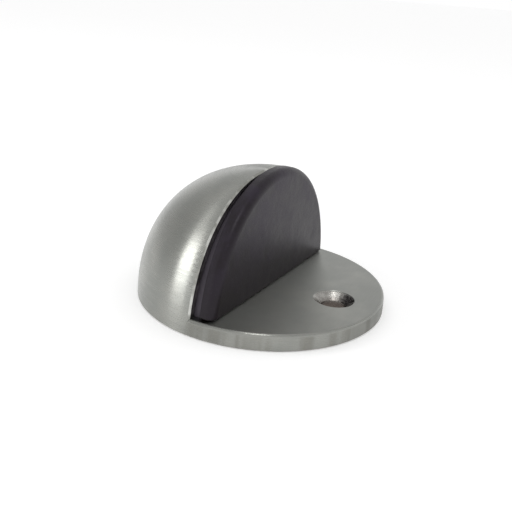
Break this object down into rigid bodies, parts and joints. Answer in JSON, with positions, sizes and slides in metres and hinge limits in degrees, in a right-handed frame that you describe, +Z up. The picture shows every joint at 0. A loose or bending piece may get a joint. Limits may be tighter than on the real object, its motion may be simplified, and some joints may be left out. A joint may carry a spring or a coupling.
{
  "type": "floor door stop",
  "caption": "Half-dome metal door stop with a flat countersunk plate in front and a black rubber bumper on the dome's cut face. It screws to the floor and stops a swinging door.",
  "frame": {"origin": "centre of the round base on its underside, which rests on the floor", "axes": "+Z up; the rubber bumper and the countersunk plate face -Y, the side the door comes from; mirror symmetric about the YZ plane"},
  "size_m": [0.045, 0.045, 0.0239],
  "materials": {
    "satin_nickel": "satin",
    "black_rubber": "matte",
    "insert_brass": "satin",
    "screw_zinc": "satin"
  },
  "bodies": {
    "root": {"body_casting": "satin_nickel", "bumper": "black_rubber", "bumper_insert_left": "insert_brass", "bumper_insert_right": "insert_brass", "bumper_screw_left": "screw_zinc", "bumper_screw_right": "screw_zinc"}
  },
  "joints": []
}
